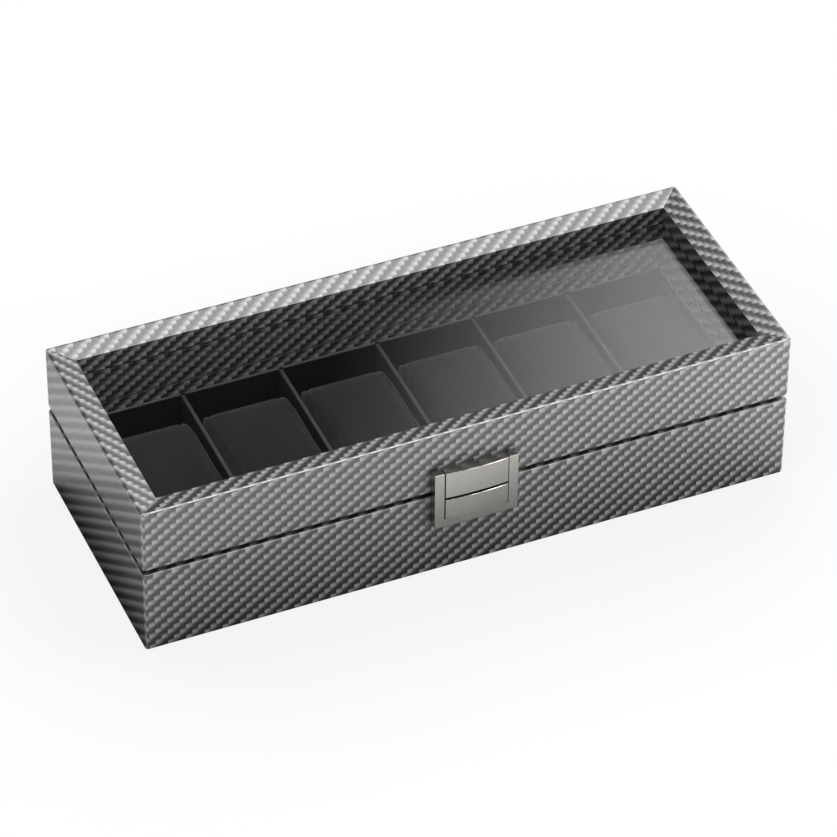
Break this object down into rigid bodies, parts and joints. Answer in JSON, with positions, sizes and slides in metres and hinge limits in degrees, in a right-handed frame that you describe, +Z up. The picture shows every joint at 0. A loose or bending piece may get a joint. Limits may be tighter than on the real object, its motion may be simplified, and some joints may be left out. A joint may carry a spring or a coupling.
{
  "type": "watch box",
  "caption": "Low rectangular watch box in carbon weave leatherette, with a hinged glass lid, a metal push latch and lift-out cushions in velvet cells.",
  "frame": {"origin": "centre of the bottom face that the box rests on", "axes": "+X along the length to the right as seen from the latch, +Y from the latch to the hinges, +Z up"},
  "size_m": [0.3, 0.1238, 0.0758],
  "materials": {
    "carbon_leatherette": "semi-gloss leatherette printed and embossed with a two-by-two twill carbon weave",
    "fibreboard": "raw medium-density fibreboard, hidden under the wrap",
    "lining_velvet": "short-pile black velvet on card",
    "cushion_velvet": "black velvet cover over foam",
    "base_felt": "thin black felt",
    "window_glass": "clear polished sheet glass",
    "satin_nickel": "satin warm nickel on a zinc casting",
    "hinge_steel": "nickel-plated sheet steel",
    "screw_steel": "zinc-plated steel",
    "spring_steel": "bare spring steel"
  },
  "bodies": {
    "base": {"base_wrap_front": "carbon_leatherette", "base_wrap_back": "carbon_leatherette", "base_wrap_left": "carbon_leatherette", "base_wrap_right": "carbon_leatherette", "collar_front": "carbon_leatherette", "collar_back": "carbon_leatherette", "collar_left": "carbon_leatherette", "collar_right": "carbon_leatherette", "base_board_front": "fibreboard", "base_board_back": "fibreboard", "base_board_left": "fibreboard", "base_board_right": "fibreboard", "bottom_panel": "fibreboard", "tray_floor": "lining_velvet", "tray_lining_front": "lining_velvet", "tray_lining_back": "lining_velvet", "tray_lining_left": "lining_velvet", "tray_lining_right": "lining_velvet", "divider_1": "lining_velvet", "divider_2": "lining_velvet", "divider_3": "lining_velvet", "divider_4": "lining_velvet", "divider_5": "lining_velvet", "bottom_felt": "base_felt", "latch_housing": "satin_nickel", "hinge_left_base_leaf": "hinge_steel", "hinge_left_pin": "hinge_steel", "hinge_right_base_leaf": "hinge_steel", "hinge_right_pin": "hinge_steel", "base_hinge_screws": "screw_steel", "latch_screws": "screw_steel", "latch_spring": "spring_steel"},
    "lid": {"lid_wrap_front": "carbon_leatherette", "lid_wrap_back": "carbon_leatherette", "lid_wrap_left": "carbon_leatherette", "lid_wrap_right": "carbon_leatherette", "lid_rail_front": "fibreboard", "lid_rail_back": "fibreboard", "lid_rail_left": "fibreboard", "lid_rail_right": "fibreboard", "lid_lining_front": "carbon_leatherette", "lid_lining_back": "carbon_leatherette", "lid_lining_left": "carbon_leatherette", "lid_lining_right": "carbon_leatherette", "lid_glass": "window_glass", "latch_strike": "satin_nickel", "strike_screws": "screw_steel", "lid_hinge_screws": "screw_steel", "hinge_left_lid_leaf": "hinge_steel", "hinge_right_lid_leaf": "hinge_steel"},
    "latch_button": {"latch_button": "satin_nickel"},
    "cushion_1": {"cushion_1": "cushion_velvet"},
    "cushion_2": {"cushion_2": "cushion_velvet"},
    "cushion_3": {"cushion_3": "cushion_velvet"},
    "cushion_4": {"cushion_4": "cushion_velvet"},
    "cushion_5": {"cushion_5": "cushion_velvet"},
    "cushion_6": {"cushion_6": "cushion_velvet"}
  },
  "joints": [
    {"name": "lid_hinge", "type": "hinge", "parent": "base", "child": "lid", "pos_m": [0, 0.0578, 0.0432], "axis": [-1, 0, 0], "range_deg": [0, 95]},
    {"name": "latch_press", "type": "slide", "parent": "base", "child": "latch_button", "axis": [0, 1, 0], "range_m": [0, 0.0014], "stiffness_N_per_m": 600, "springref_m": -0.001, "deforming": ["latch_spring"]},
    {"name": "cushion_1_lift", "type": "slide", "parent": "base", "child": "cushion_1", "axis": [0, 0, 1], "range_m": [0, 0.016]},
    {"name": "cushion_2_lift", "type": "slide", "parent": "base", "child": "cushion_2", "axis": [0, 0, 1], "range_m": [0, 0.016]},
    {"name": "cushion_3_lift", "type": "slide", "parent": "base", "child": "cushion_3", "axis": [0, 0, 1], "range_m": [0, 0.016]},
    {"name": "cushion_4_lift", "type": "slide", "parent": "base", "child": "cushion_4", "axis": [0, 0, 1], "range_m": [0, 0.016]},
    {"name": "cushion_5_lift", "type": "slide", "parent": "base", "child": "cushion_5", "axis": [0, 0, 1], "range_m": [0, 0.016]},
    {"name": "cushion_6_lift", "type": "slide", "parent": "base", "child": "cushion_6", "axis": [0, 0, 1], "range_m": [0, 0.016]}
  ]
}
